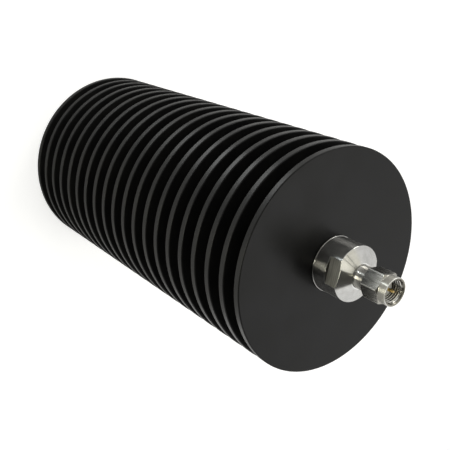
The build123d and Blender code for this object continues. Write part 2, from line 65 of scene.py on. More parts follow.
# %% Camera at the photograph's viewing angle
LENS_MM = 57.925
SENSOR_MM = 36.0
NEAREST, FARTHEST = 0.005, 50.0
FACE_MIDDLE = Vector((0.0, 0.0, 123.6)) * MM
CAMERA_PLACE = Vector((-48.377, -146.423, 250.591)) * MM
look = Vector((0.22388, 0.62528, -0.74760)).normalized()
picture_top = Vector((-0.95520, -0.01157, -0.29573)).normalized()
picture_right = look.cross(picture_top).normalized()
picture_top = picture_right.cross(look)

camera_data = bpy.data.cameras.new("photo_camera")
camera_data.lens = LENS_MM
camera_data.sensor_width = SENSOR_MM
camera_data.clip_start = NEAREST
camera_data.clip_end = FARTHEST
camera = bpy.data.objects.new("photo_camera", camera_data)
camera.matrix_world = Matrix.Translation(CAMERA_PLACE) @ Matrix(
    (picture_right, picture_top, -look)
).transposed().to_4x4()
bpy.context.scene.collection.objects.link(camera)
bpy.context.scene.camera = camera
bpy.context.scene.view_settings.view_transform = "Standard"
print("lens", LENS_MM, "mm, distance from the lens to the front face's middle:",
      round((camera.location - FACE_MIDDLE).length / MM, 1), "mm")

# %% [markdown]
# ## Turned surfaces from a half-section
#
# Nearly every surface here comes off a lathe. A Screw or Spin of a drawn outline would make the shapes, but
# not their rounded edges or clean reflections. So each piece starts as a half-section of (radius, height)
# corners, given at every angle round the axis. Where the corners depend on the angle, the same function
# also makes wrench flats and a hexagon. Each corner is then rounded by a true circular arc, and because the
# formula of the arc is known, so is the exact normal of the surface at each point. Those normals keep the
# broad flat faces free of shading errors beside their narrow rounded edges.

# %% Round the corners of a half-section
LARGEST_CUT = 0.48


def softened(corners, cuts, steps, closed=True):
    """Half-sections with rounded corners, and their tangents.

    corners has the shape (corners, angles, 2) and holds radius and height. Each corner C becomes a circular
    arc from A, one cut before C, to B, one cut after it:
    P(t) = ((1 - t)^2 A + 2 w t (1 - t) C + t^2 B) / ((1 - t)^2 + 2 w t (1 - t) + t^2),
    where w is the sine of half the angle between the two sides at C. The tangent is the derivative of P.
    A cut takes at most LARGEST_CUT of the shorter side, so that two arcs never meet. The first and last
    corner of an open section lie on the axis, only give a direction, and are left out.
    """
    before = np.roll(corners, 1, axis=0) - corners
    after = np.roll(corners, -1, axis=0) - corners
    length_before = np.linalg.norm(before, axis=2, keepdims=True)
    length_after = np.linalg.norm(after, axis=2, keepdims=True)
    before = before / length_before
    after = after / length_after
    cut = np.reshape(cuts, (len(corners), -1, 1))
    cut = np.minimum(cut, LARGEST_CUT * np.minimum(length_before, length_after))
    start = corners + before * cut
    end = corners + after * cut
    weight = np.sqrt(np.clip((1 - np.sum(before * after, axis=2, keepdims=True)) / 2, 0, 1))
    t = np.linspace(0, 1, steps + 1).reshape(-1, 1, 1, 1)
    top = (1 - t) ** 2 * start + 2 * weight * t * (1 - t) * corners + t**2 * end
    bottom = (1 - t) ** 2 + 2 * weight * t * (1 - t) + t**2
    top_slope = -2 * (1 - t) * start + 2 * weight * (1 - 2 * t) * corners + 2 * t * end
    bottom_slope = -2 * (1 - t) + 2 * weight * (1 - 2 * t) + 2 * t
    places = top / bottom
    tangents = top_slope * bottom - top * bottom_slope
    if not closed:
        places, tangents = places[:, 1:-1], tangents[:, 1:-1]
    places = np.swapaxes(places, 0, 1).reshape(-1, corners.shape[1], 2)
    tangents = np.swapaxes(tangents, 0, 1).reshape(-1, corners.shape[1], 2)
    return places, tangents / np.linalg.norm(tangents, axis=2, keepdims=True)


square = np.array([(2.0, 0.0), (3.0, 0.0), (3.0, 1.0), (2.0, 1.0)])[:, None, :]
square_cuts = [0.2] * len(square)
print("a square's 4 corners, rounded in 3 steps, give", len(softened(square, square_cuts, 3)[0]),
      "points")

# %% Carry the sections round the axis
def around_axis(places, tangents, angles):
    """Points and outward normals of a surface of sections.

    A point is (r cos a, r sin a, z). Its normal is the direction round the axis, which is the difference of
    its two neighbours on the row, crossed with the tangent of the section.
    """
    cosine, sine = np.cos(angles), np.sin(angles)
    radius, height = places[..., 0], places[..., 1]
    points = np.stack((radius * cosine, radius * sine, height), axis=-1)
    along = np.stack((tangents[..., 0] * cosine, tangents[..., 0] * sine, tangents[..., 1]), axis=-1)
    sideways = np.roll(points, -1, axis=1) - np.roll(points, 1, axis=1)
    normals = np.cross(sideways, along)
    return points, normals / np.linalg.norm(normals, axis=2, keepdims=True)


eighths = np.arange(8) * np.pi / 4
ring = around_axis(*softened(np.repeat(square, 8, axis=1), square_cuts, 3), eighths)[0]
print("carried round in 8 steps it is a ring of", ring.shape[0] * ring.shape[1], "points")

# %% Put a grid of points into a mesh
def skinned(name, points, normals, finishes, strip_finish, closed=True):
    """A closed mesh from rows of points round the axis, given in millimetres.

    Rows j and j + 1 are joined by one quad for each step of the angle. A closed section joins its last row
    to its first. An open one is closed by a flat face across its first row and one across its last.
    strip_finish holds one number for each quad: the place of its finish in the list of finishes.
    """
    rows, count = points.shape[:2]
    index = np.arange(rows * count).reshape(rows, count)
    lower = index if closed else index[:-1]
    upper = np.roll(index, -1, axis=0) if closed else index[1:]
    quads = np.stack((lower, np.roll(lower, -1, 1), np.roll(upper, -1, 1), upper), axis=-1)
    caps = [] if closed else [index[0, ::-1].tolist(), index[-1].tolist()]
    mesh = bpy.data.meshes.new(name)
    mesh.from_pydata(points.reshape(-1, 3) * MM, [], quads.reshape(-1, 4).tolist() + caps)
    finish_index = np.concatenate((np.asarray(strip_finish).reshape(-1), np.zeros(len(caps))))
    mesh.polygons.foreach_set("material_index", finish_index.astype(np.int32))
    mesh.shade_smooth()
    for finish in finishes:
        mesh.materials.append(finish)
    mesh.normals_split_custom_set_from_vertices(normals.reshape(-1, 3))
    piece = bpy.data.objects.new(name, mesh)
    bpy.context.scene.collection.objects.link(piece)
    print(name, "vertices", len(mesh.vertices), "quads", quads.shape[0] * quads.shape[1])
    return piece

# %% [markdown]
# ## Finishes that come from a tool
#
# Turned metal carries fine rings, milled or drawn metal carries straight lines, and anodising leaves a soft
# even grain. None of them is a picture: each is a noise that is stretched along the tool's path. Three
# shader node groups hold them, and each material places the one it needs with its own values. All read
# Object coordinates, which are metres from the part's own origin, so the pattern stays on the metal when
# it turns. Turned steel also stretches its reflections across the rings, which turns each lamp into a long
# band.

# %% Small helpers for node trees
# How many finer layers a noise gets: fewer for lines, which stay clean, than for grain and patches.
LINE_DETAIL, GRAIN_DETAIL = 2.0, 3.0


def new_group(name, inputs, outputs):
    """An empty shader node group with float inputs (name, value) and named float outputs."""
    group = bpy.data.node_groups.new(name, "ShaderNodeTree")
    for socket, value in inputs:
        given = group.interface.new_socket(socket, in_out="INPUT", socket_type="NodeSocketFloat")
        given.default_value = value
    for socket in outputs:
        group.interface.new_socket(socket, in_out="OUTPUT", socket_type="NodeSocketFloat")
    print("node group", name, "puts out", ", ".join(outputs))
    return group, group.nodes.new("NodeGroupInput"), group.nodes.new("NodeGroupOutput")


def fed(tree, node, terms):
    """The first output of a node whose inputs get the terms in turn, each a socket or a number."""
    for place, term in enumerate(terms):
        if isinstance(term, (int, float)):
            node.inputs[place].default_value = term
        else:
            tree.links.new(term, node.inputs[place])
    return node.outputs[0]


def calculated(tree, operation, *terms):
    """The output of a Math node."""
    node = tree.nodes.new("ShaderNodeMath")
    node.operation = operation
    return fed(tree, node, terms)


def vector_of(tree, *terms):
    """A vector put together from three terms."""
    return fed(tree, tree.nodes.new("ShaderNodeCombineXYZ"), terms)


def noise(tree, vector, scale, detail):
    """The value of a Noise Texture at a vector."""
    node = tree.nodes.new("ShaderNodeTexNoise")
    node.inputs["Scale"].default_value = scale
    node.inputs["Detail"].default_value = detail
    tree.links.new(vector, node.inputs["Vector"])
    return node.outputs["Fac"]

# %% Node group: rings left by a lathe tool
PATCHES_PER_MM = 0.5


def make_tool_rings():
    """Lines is a noise of (radius, height) in millimetres times the rings per millimetre, with only a
    little of the place round the axis, so that it draws long arcs. Patches is a slow noise that varies the
    gloss."""
    group, given, result = new_group("tool_rings", [("Rings per mm", 12.0), ("Arc break", 0.15)],
                                     ["Lines", "Patches"])
    place = group.nodes.new("ShaderNodeTexCoord")
    split = group.nodes.new("ShaderNodeSeparateXYZ")
    group.links.new(place.outputs["Object"], split.inputs[0])
    x, y, z = (calculated(group, "MULTIPLY", out, 1 / MM) for out in split.outputs)
    radius = calculated(group, "SQRT", calculated(
        group, "ADD", calculated(group, "MULTIPLY", x, x), calculated(group, "MULTIPLY", y, y)))
    drift = calculated(group, "MULTIPLY", calculated(group, "ADD", x, y), given.outputs["Arc break"])
    rings = given.outputs["Rings per mm"]
    arcs = vector_of(group, calculated(group, "MULTIPLY", radius, rings),
                     calculated(group, "MULTIPLY", z, rings), drift)
    group.links.new(noise(group, arcs, 1.0, LINE_DETAIL), result.inputs["Lines"])
    patches = noise(group, place.outputs["Object"], PATCHES_PER_MM / MM, GRAIN_DETAIL)
    group.links.new(patches, result.inputs["Patches"])
    return group


TOOL_RINGS = make_tool_rings()

# %% Node group: even grain of anodised, blasted or moulded skin
def make_fine_grain():
    """Grain is a noise of the place in millimetres times the grains per millimetre. Patches is a slow
    noise, with one patch in each patch size."""
    group, given, result = new_group("fine_grain", [("Grains per mm", 6.0), ("Patch size mm", 8.0)],
                                     ["Grain", "Patches"])
    place = group.nodes.new("ShaderNodeTexCoord")
    patches = calculated(group, "DIVIDE", 1.0, given.outputs["Patch size mm"])
    for per_mm, socket in ((given.outputs["Grains per mm"], "Grain"), (patches, "Patches")):
        scaled = group.nodes.new("ShaderNodeVectorMath")
        scaled.operation = "SCALE"
        group.links.new(place.outputs["Object"], scaled.inputs[0])
        group.links.new(calculated(group, "MULTIPLY", per_mm, 1 / MM), scaled.inputs["Scale"])
        group.links.new(noise(group, scaled.outputs[0], 1.0, GRAIN_DETAIL), result.inputs[socket])
    return group


FINE_GRAIN = make_fine_grain()

# %% Node group: straight lines of drawn bar or of a milling cutter
def make_straight_lines():
    """Lines is a noise of the place in millimetres times one number across the axis and one along it."""
    group, given, result = new_group("straight_lines", [("Around per mm", 5.0), ("Axial per mm", 0.2)],
                                     ["Lines"])
    place = group.nodes.new("ShaderNodeTexCoord")
    split = group.nodes.new("ShaderNodeSeparateXYZ")
    group.links.new(place.outputs["Object"], split.inputs[0])
    around, axial = given.outputs["Around per mm"], given.outputs["Axial per mm"]
    parts = [calculated(group, "MULTIPLY", calculated(group, "MULTIPLY", out, 1 / MM), per_mm)
             for out, per_mm in zip(split.outputs, (around, around, axial))]
    lines = noise(group, vector_of(group, *parts), 1.0, LINE_DETAIL)
    group.links.new(lines, result.inputs["Lines"])
    return group


STRAIGHT_LINES = make_straight_lines()

# %% A material that wears one of the groups
MASK_LOW, MASK_HIGH = 0.35, 0.65


def finish_with(name, group, settings, masks, low, high, roughness, bump_mm, metallic=0.0,
                **shader_values):
    """A Principled material that wears a node group with the given settings.

    masks names two outputs of the group. Where the first goes from MASK_LOW to MASK_HIGH, the colour runs
    from low to high and the roughness from its first to its second value. The second feeds a Bump node,
    bump_mm high. shader_values go straight to the shader's own sockets.
    """
    material = bpy.data.materials.new(name)
    material.use_nodes = True
    tree = material.node_tree
    shader = tree.nodes["Principled BSDF"]
    shader.inputs["Metallic"].default_value = metallic
    for socket, value in shader_values.items():
        shader.inputs[socket.replace("_", " ")].default_value = value
    pattern = tree.nodes.new("ShaderNodeGroup")
    pattern.node_tree = group
    for socket, value in settings.items():
        pattern.inputs[socket].default_value = value
    slow, fine = (pattern.outputs[mask] for mask in masks)
    ramp = tree.nodes.new("ShaderNodeValToRGB")
    for element, position, colour in zip(ramp.color_ramp.elements, (MASK_LOW, MASK_HIGH), (low, high)):
        element.position = position
        element.color = (*colour, 1)
    tree.links.new(slow, ramp.inputs["Fac"])
    tree.links.new(ramp.outputs["Color"], shader.inputs["Base Color"])
    spread = tree.nodes.new("ShaderNodeMapRange")
    limits = (MASK_LOW, MASK_HIGH, *roughness)
    for socket, value in zip(("From Min", "From Max", "To Min", "To Max"), limits):
        spread.inputs[socket].default_value = value
    tree.links.new(slow, spread.inputs["Value"])
    tree.links.new(spread.outputs["Result"], shader.inputs["Roughness"])
    bump = tree.nodes.new("ShaderNodeBump")
    bump.inputs["Distance"].default_value = bump_mm * MM
    tree.links.new(fine, bump.inputs["Height"])
    tree.links.new(bump.outputs["Normal"], shader.inputs["Normal"])
    return material


def grained_skin(name, grains, patch_mm, **look_values):
    """Anodising, plastic, rubber or ceramic: an even grain over slow patches."""
    return finish_with(name, FINE_GRAIN, {"Grains per mm": grains, "Patch size mm": patch_mm},
                       ("Patches", "Grain"), **look_values)


def lined_metal(name, around, axial, **look_values):
    """Metal with straight lines. They run along the direction with the smaller number per millimetre."""
    return finish_with(name, STRAIGHT_LINES, {"Around per mm": around, "Axial per mm": axial},
                       ("Lines", "Lines"), metallic=1.0, **look_values)


ACROSS_THE_RINGS = 0.25


def turned_metal(name, rings, streaks=0.0, **look_values):
    """Metal with tool rings. Streaks above 0 stretch its reflections across the rings, for which the
    shader's tangent runs round the axis and is turned by a quarter."""
    material = finish_with(name, TOOL_RINGS, {"Rings per mm": rings}, ("Patches", "Lines"), metallic=1.0,
                           **look_values)
    if streaks:
        tree = material.node_tree
        tangent = tree.nodes.new("ShaderNodeTangent")
        tangent.direction_type = "RADIAL"
        tangent.axis = "Z"
        shader = tree.nodes["Principled BSDF"]
        shader.inputs["Anisotropic"].default_value = streaks
        shader.inputs["Anisotropic Rotation"].default_value = ACROSS_THE_RINGS
        tree.links.new(tangent.outputs[0], shader.inputs["Tangent"])
    return material


print("three kinds of finish, with masks from", MASK_LOW, "to", MASK_HIGH)

# %% [markdown]
# ## One steel, many tools
#
# The plug is all one stainless steel, but each of its faces was cut by another tool, and the photograph
# shows them apart. The cone is the brightest, turned with a fine feed. The stub is ground and a little
# rougher, so its bands are softer. The neck and the nut's collar were turned with a blunter tool, which
# spreads their highlights sideways too. The wrench flats carry the milling cutter's lines across them, and
# the nut's sides the long lines of drawn bar. The ledge where the cutter starts each flat is painted near
# black, a painted shade. The nut's end ring is painted darker, a painted shade, and its edges are worn and
# also painted brighter, a painted highlight. In its thread the flanks are painted bright, a painted
# highlight, and the crests and roots near black, a painted shade. One steel with more wear drawn on it
# would miss that, so each face gets a finish of its own.

# %% Anodising and the plug's steels
black_anodising = grained_skin(
    "black_anodising", grains=7.0, patch_mm=9.0, low=(0.0055, 0.0055, 0.0057),
    high=(0.0080, 0.0079, 0.0076), roughness=(0.32, 0.39), bump_mm=0.004, Specular_IOR_Level=0.145)
turned_steel = turned_metal(
    "turned_steel", rings=14.0, streaks=0.95, low=(0.58, 0.575, 0.55), high=(0.64, 0.635, 0.61),
    roughness=(0.16, 0.18), bump_mm=0.0001)
ground_steel = turned_metal(
    "ground_steel", rings=10.0, streaks=0.95, low=(0.41, 0.405, 0.385), high=(0.47, 0.465, 0.44),
    roughness=(0.23, 0.25), bump_mm=0.0001)
nut_turned_steel = turned_metal(
    "nut_turned_steel", rings=12.0, streaks=0.8, low=(0.38, 0.37, 0.33), high=(0.44, 0.43, 0.385),
    roughness=(0.215, 0.245), bump_mm=0.0001)
# The thread's flanks: steel painted brighter than the rest, a painted highlight.
thread_highlight_steel = turned_metal(
    "thread_highlight_steel", rings=8.0, low=(0.72, 0.71, 0.65), high=(0.80, 0.79, 0.73),
    roughness=(0.14, 0.20), bump_mm=0.0001)
# The thread's crests and roots: steel painted near black, a painted shade.
thread_shade_steel = turned_metal(
    "thread_shade_steel", rings=8.0, low=(0.015, 0.014, 0.012), high=(0.03, 0.028, 0.023),
    roughness=(0.34, 0.42), bump_mm=0.0004)
# The nut's end ring: steel painted darker than the collar, a painted shade.
shaded_ring_steel = turned_metal(
    "shaded_ring_steel", rings=8.0, low=(0.20, 0.19, 0.16), high=(0.26, 0.25, 0.215), roughness=(0.20, 0.28),
    bump_mm=0.0004)
neck_steel = turned_metal(
    "neck_steel", rings=10.0, streaks=0.7, low=(0.42, 0.41, 0.38), high=(0.48, 0.47, 0.44),
    roughness=(0.235, 0.265), bump_mm=0.0001)
milled_steel = lined_metal(
    "milled_steel", around=0.2, axial=5.0, low=(0.32, 0.315, 0.295), high=(0.52, 0.515, 0.48),
    roughness=(0.28, 0.36), bump_mm=0.0015)
# The ledge where the cutter starts each flat: steel painted near black, a painted shade.
shaded_ledge = lined_metal(
    "shaded_ledge", around=2.0, axial=2.0, low=(0.05, 0.049, 0.045), high=(0.09, 0.088, 0.08),
    roughness=(0.5, 0.6), bump_mm=0.002)
drawn_steel = lined_metal(
    "drawn_steel", around=9.0, axial=0.22, low=(0.40, 0.395, 0.36), high=(0.61, 0.60, 0.56),
    roughness=(0.175, 0.235), bump_mm=0.0006)
# The nut's corners and the ring's outer rounding: worn, and painted brighter too, a painted highlight.
worn_and_lit_edge = turned_metal(
    "worn_and_lit_edge", rings=6.0, low=(0.58, 0.58, 0.55), high=(0.66, 0.66, 0.63), roughness=(0.30, 0.36),
    bump_mm=0.0005)
print("materials:", len(bpy.data.materials))

# %% [markdown]
# ## The finned heat sink
#
# The real heat sink is one aluminium bar with nineteen deep grooves cut by a parting tool. Its twenty fins
# have slightly rounded rims and the roots keep the round corners of the tool. The CAD node has the same
# shape. Here its half-section is written once for one fin, repeated with whole arrays, and rounded by the
# arc formula, so that each rim catches the light in one clean line.

# %% Heat sink surface
FIN_COUNT = 20
FIN_PITCH = 6.4
FIN_THICKNESS = 2.0
FIN_EDGE = 0.35
FIN_ROOT = 1.0
CORE_RADIUS = 17.0
FACE = (FIN_COUNT - 1) * FIN_PITCH + FIN_THICKNESS
BORE_STEPS = [(7.02, 0.0), (7.02, 3.0), (6.72, 3.0), (6.72, 11.6), (6.4, 11.6), (6.4, 46.0),
              (0.0, 46.0)]
BORE_EDGE = 0.1
SINK_STEPS = 240
SINK_ARC = 3
fin_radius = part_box("heat_sink")[1].y / MM


def heat_sink_corners():
    """Corners of the half-section from the axis on the rear face, up over the fins and down the bore.

    Fin k lies between the heights k p and k p + w, and the groove after it reaches in to the core. The bore
    is given as radius and depth below the front face."""
    rear = np.arange(FIN_COUNT)[:, None] * FIN_PITCH
    radii = np.array([CORE_RADIUS, fin_radius, fin_radius, CORE_RADIUS])
    heights = rear + np.array([0.0, 0.0, FIN_THICKNESS, FIN_THICKNESS])
    fins = np.stack((np.broadcast_to(radii, heights.shape), heights), axis=-1).reshape(-1, 2)[1:-1]
    bore = np.array(BORE_STEPS) * (1, -1) + (0, FACE)
    return np.concatenate(([(0.0, 0.0)], fins, bore))


sink_corners = heat_sink_corners()
at_root = np.isclose(sink_corners[:, 0], CORE_RADIUS)
at_rim = np.isclose(sink_corners[:, 0], fin_radius)
sink_cuts = np.where(at_root, FIN_ROOT, np.where(at_rim, FIN_EDGE, BORE_EDGE))
sink_angles = np.arange(SINK_STEPS) * 2 * np.pi / SINK_STEPS
sink_grid = np.repeat(sink_corners[:, None, :], SINK_STEPS, axis=1)
sink_section = softened(sink_grid, sink_cuts, SINK_ARC, closed=False)
sink_points, sink_normals = around_axis(*sink_section, sink_angles)
finned_sink = skinned("finned_sink", sink_points, sink_normals, [black_anodising],
                      np.zeros((len(sink_points) - 1, SINK_STEPS)), closed=False)
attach(finned_sink, "load")
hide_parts("heat_sink")

# %% [markdown]
# ## The connector body
#
# The body is turned from stainless bar: a stub with a thin lip at its foot, a shallow polished cone, a
# grooved neck and the journal that the nut runs on. Two opposite sides of the stub are milled flat for a
# wrench, from 5 mm above the foot up into the cone. Cutting the flats with a Boolean would leave a ragged
# mesh along their curved upper edge. Instead the radius of the flat, 7 mm over the cosine of the angle from
# its middle, takes the place of the stub's radius wherever it is smaller, and the rows follow its edges.

# %% Sizes of the connector body: heights above the front face, and depths below it
LIP_RADIUS = 8.0375
LIP_CHAMFER = 0.3
LIP_HEIGHT = 0.6
BODY_RADIUS = 7.9375
BODY_EDGE = 8.75
FLAT_HALF = 7.0
FLAT_START = 5.0
LEDGE_RISE = 0.03
CONE_END = 10.75
CONE_END_RADIUS = 3.7
NECK_RADIUS = 3.35
NECK_END = 13.95
NECK_GROOVE_RADIUS = 3.1
NECK_GROOVE_WIDTH = 0.4
JOURNAL_RADIUS = 3.0
RING_GROOVE_RADIUS = 2.6
RING_GROOVE_START, RING_GROOVE_END = 15.0, 15.7
BODY_END = 16.8
CONTACT_BORES = [(2.3, 12.4), (2.06, 6.0), (1.46, 3.0)]
CHAMBER_RADIUS = 3.2
THREAD_RADIUS = 6.7
PILOT_RADIUS = 7.0
SEAL_GROOVE_RADIUS = 6.05
SPIGOT_DEPTH, PILOT_DEPTH = 11.0, 2.98
SEAL_GROOVE_DEPTH, SEAL_GROOVE_START = 1.9, 0.7
cone_slope = (CONE_END - BODY_EDGE) / (BODY_RADIUS - CONE_END_RADIUS)
print("the cone rises", round(math.degrees(math.atan(cone_slope)), 1), "degrees")

# %% Wrench flats as a radius that depends on the angle
# Each edge of a flat gets three angles of its own, EDGE_TURN apart, so that the mesh follows it. The cosine
# stays above LEAST_COSINE, so that nothing is divided by zero far from the flats. An angle is on a flat
# when the radius there is smaller than the stub's by more than a HAIR of rounding error.
BODY_STEPS = 320
EDGE_TURN = 0.006
LEAST_COSINE = 0.1
HAIR = 1e-6
flat_edge = math.acos(FLAT_HALF / BODY_RADIUS)
edge_turns = np.array([side + way * (flat_edge + beside) for side in (np.pi / 2, 3 * np.pi / 2)
                       for way in (-1, 1) for beside in (-EDGE_TURN, 0.0, EDGE_TURN)])
body_angles = np.unique(np.concatenate((np.arange(BODY_STEPS) * 2 * np.pi / BODY_STEPS, edge_turns)))
flat_cosine = np.maximum(np.abs(np.sin(body_angles)), LEAST_COSINE)
flat_radius = np.minimum(FLAT_HALF / flat_cosine, BODY_RADIUS)
flat_top = BODY_EDGE + (BODY_RADIUS - flat_radius) * cone_slope
on_flat = flat_radius < BODY_RADIUS - HAIR
print("each flat spans", round(2 * math.degrees(flat_edge), 1), "degrees and ends",
      round(flat_top.max(), 2), "mm above the face")

# %% Connector body surface
def section_grid(rows, angles):
    """Rows of (radius, height, cut), each a number or one value for each angle."""
    grid = np.stack([np.stack([np.broadcast_to(term, len(angles)) for term in row], axis=-1)
                     for row in rows])
    return grid[..., :2].astype(float), grid[..., 2].astype(float)


def side_after(corner, arc):
    """The row of quads from a rounded corner to the next, where each corner has arc + 1 rows of points."""
    return corner * (arc + 1) + arc


spigot_rows = [
    (CHAMBER_RADIUS, FACE - SPIGOT_DEPTH, 0.1), (THREAD_RADIUS, FACE - SPIGOT_DEPTH, 0.2),
    (THREAD_RADIUS, FACE - PILOT_DEPTH, 0.05), (PILOT_RADIUS, FACE - PILOT_DEPTH, 0.1),
    (PILOT_RADIUS, FACE - SEAL_GROOVE_DEPTH, 0.05), (SEAL_GROOVE_RADIUS, FACE - SEAL_GROOVE_DEPTH, 0.1),
    (SEAL_GROOVE_RADIUS, FACE - SEAL_GROOVE_START, 0.1), (PILOT_RADIUS, FACE - SEAL_GROOVE_START, 0.05),
    (PILOT_RADIUS, FACE, 0.02),
]
stub_rows = [
    (LIP_RADIUS - LIP_CHAMFER, FACE, 0.05), (LIP_RADIUS, FACE + LIP_CHAMFER, 0.08),
    (LIP_RADIUS, FACE + LIP_HEIGHT, 0.07), (BODY_RADIUS, FACE + LIP_HEIGHT, 0.03),
    (BODY_RADIUS, FACE + FLAT_START, 0.03), (flat_radius, FACE + FLAT_START + LEDGE_RISE, 0.05),
    (flat_radius, FACE + flat_top, np.where(on_flat, 0.04, 0.1)),
    (CONE_END_RADIUS, FACE + CONE_END, 0.1),
]
neck_rows = [
    (NECK_GROOVE_RADIUS, FACE + CONE_END, 0.03),
    (NECK_GROOVE_RADIUS, FACE + CONE_END + NECK_GROOVE_WIDTH, 0.03),
    (NECK_RADIUS, FACE + CONE_END + NECK_GROOVE_WIDTH, 0.06), (NECK_RADIUS, FACE + NECK_END, 0.08),
    (JOURNAL_RADIUS, FACE + NECK_END, 0.05), (JOURNAL_RADIUS, FACE + RING_GROOVE_START, 0.03),
    (RING_GROOVE_RADIUS, FACE + RING_GROOVE_START, 0.05),
    (RING_GROOVE_RADIUS, FACE + RING_GROOVE_END, 0.05),
    (JOURNAL_RADIUS, FACE + RING_GROOVE_END, 0.03), (JOURNAL_RADIUS, FACE + BODY_END, 0.05),
]
line_rows = []
bore_start = BODY_END
for bore_radius, bore_floor in CONTACT_BORES:
    line_rows += [(bore_radius, FACE + bore_start, 0.02), (bore_radius, FACE + bore_floor, 0.02)]
    bore_start = bore_floor
line_rows.append((CHAMBER_RADIUS, FACE + bore_start, 0.05))
body_rows = spigot_rows + stub_rows + neck_rows + line_rows
BODY_ARC = 3
body_grid, body_cuts = section_grid(body_rows, body_angles)
body_points, body_normals = around_axis(*softened(body_grid, body_cuts, BODY_ARC), body_angles)

# %% Finishes of the connector body, and its mesh
# The foot corner is where the lip meets the stub, the ledge corner where the cutter starts each flat, and
# the neck corner is the far one of the neck's groove. All that follows it gets the neck's finish.
TURNED, MILLED, LEDGE, GROUND, NECK = range(5)
FOOT_CORNER = len(spigot_rows) + 3
LEDGE_CORNER = FOOT_CORNER + 1
NECK_CORNER = len(spigot_rows) + len(stub_rows) + 1
body_finish = np.full(body_points.shape[:2], TURNED)
ledge_row, flat_row = side_after(LEDGE_CORNER, BODY_ARC), side_after(LEDGE_CORNER + 1, BODY_ARC)
# The ledge on each flat gets the steel painted near black: a painted shade.
body_finish[ledge_row:flat_row, on_flat] = LEDGE
body_finish[flat_row, on_flat] = MILLED
body_finish[side_after(FOOT_CORNER, BODY_ARC)] = GROUND
body_finish[ledge_row:flat_row + 1, ~on_flat] = GROUND
body_finish[NECK_CORNER * (BODY_ARC + 1):] = NECK
body_finishes = [turned_steel, milled_steel, shaded_ledge, ground_steel, neck_steel]
plug_body = skinned("plug_body", body_points, body_normals, body_finishes, body_finish)
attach(plug_body, "load")
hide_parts("connector_body")

# %% [markdown]
# ## The coupling nut
#
# The nut is hexagon bar with a turned collar. Turning the collar cuts a cone across the six corners, which
# leaves a V at each of them. Inside runs a right-handed thread of 36 turns to the inch, opened by a smooth
# lead-in cone. The hexagon is a radius that depends on the angle, with each corner rounded by a small arc.
# The thread is a radius that depends on the angle and the height together, so the grooves really climb.
# A Screw modifier could wind the thread too, but it would need a second mesh inside the nut.

# %% Hexagon, rounded at its corners
# CROWDING draws the angles of each side together at its two corners, where the arcs need them.
HEX_HALF = 3.96875
HEX_CORNER_TURN = math.radians(33.5)
CORNER_ROUND = 0.2
SIDE_STEPS = 44
CROWDING = 0.8
side_step = np.arange(SIDE_STEPS) / SIDE_STEPS
from_corner = (side_step - CROWDING * np.sin(2 * np.pi * side_step) / (2 * np.pi)) * np.pi / 3
nut_angles = (HEX_CORNER_TURN + np.arange(6)[:, None] * np.pi / 3 + from_corner).reshape(-1)


def beside_corner(angle):
    """The angle to the nearest of the six corners."""
    return np.abs((angle - HEX_CORNER_TURN + np.pi / 6) % (np.pi / 3) - np.pi / 6)


def hexagon_radius(angle):
    """Radius of a hexagon with rounded corners.

    The flat is h / cos(b), with b the angle from its middle. The corner is a circle of radius q whose
    centre lies (h - q) / cos(30 degrees) out, and it counts up to the angle where it touches the flat."""
    beside = beside_corner(angle)
    flat = HEX_HALF / np.cos(np.pi / 6 - beside)
    middle = (HEX_HALF - CORNER_ROUND) / math.cos(np.pi / 6)
    reach = np.sqrt(np.maximum(CORNER_ROUND**2 - (middle * np.sin(beside)) ** 2, 0))
    touch = math.atan2(CORNER_ROUND / 2, middle + CORNER_ROUND * math.cos(np.pi / 6))
    return np.where(beside < touch, middle * np.cos(beside) + reach, flat)


hexagon = hexagon_radius(nut_angles)
print("hexagon across flats", round(2 * hexagon.min(), 3), "mm, across corners",
      round(2 * hexagon.max(), 3), "mm")

# %% Internal thread that climbs
# The rows of the thread begin where the lead-in cone is ENTRY_ROOM wider than the thread's roots.
NUT_START = FACE + 14.1
NUT_END = FACE + 22.05
MOUTH_RADIUS = 3.45
MOUTH_DEPTH = 1.1
THREAD_START = FACE + 17.7
THREAD_PITCH = 25.4 / 36
THREAD_MAJOR = 3.175
THREAD_MINOR = 2.92
THREAD_ROWS = 110
FLANK_SLOPE = 1.732
ENTRY_ROOM = 0.02


def thread_radius(angle, height):
    """Radius of a right-handed internal thread with 60 degree flanks, opened by the lead-in cone.

    x is the distance along the axis from the nearest root, whose height grows by one pitch each turn. The
    radius is the major one less 1.732 times what x has beyond a sixteenth of the pitch."""
    x = (height - THREAD_PITCH * angle / (2 * np.pi)) % THREAD_PITCH
    x = np.minimum(x, THREAD_PITCH - x)
    flank = np.clip(FLANK_SLOPE * (x - THREAD_PITCH / 16), 0, THREAD_MAJOR - THREAD_MINOR)
    groove = THREAD_MAJOR - flank
    cone = MOUTH_RADIUS - (NUT_END - height) * (MOUTH_RADIUS - THREAD_MINOR) / MOUTH_DEPTH
    return np.maximum(groove, cone)


entry_drop = MOUTH_DEPTH * (MOUTH_RADIUS - THREAD_MAJOR - ENTRY_ROOM) / (MOUTH_RADIUS - THREAD_MINOR)
cone_foot = NUT_END - entry_drop
thread_heights = np.linspace(cone_foot, THREAD_START, THREAD_ROWS)
thread_radii = thread_radius(nut_angles[None, :], thread_heights[:, None])
thread_levels = np.broadcast_to(thread_heights[:, None], thread_radii.shape)
thread_places = np.stack((thread_radii, thread_levels), axis=-1)
thread_tangents = np.gradient(thread_places, axis=0)
thread_tangents /= np.linalg.norm(thread_tangents, axis=2, keepdims=True)
print("thread of", round((cone_foot - THREAD_START) / THREAD_PITCH, 1), "turns, pitch",
      round(THREAD_PITCH, 3), "mm")

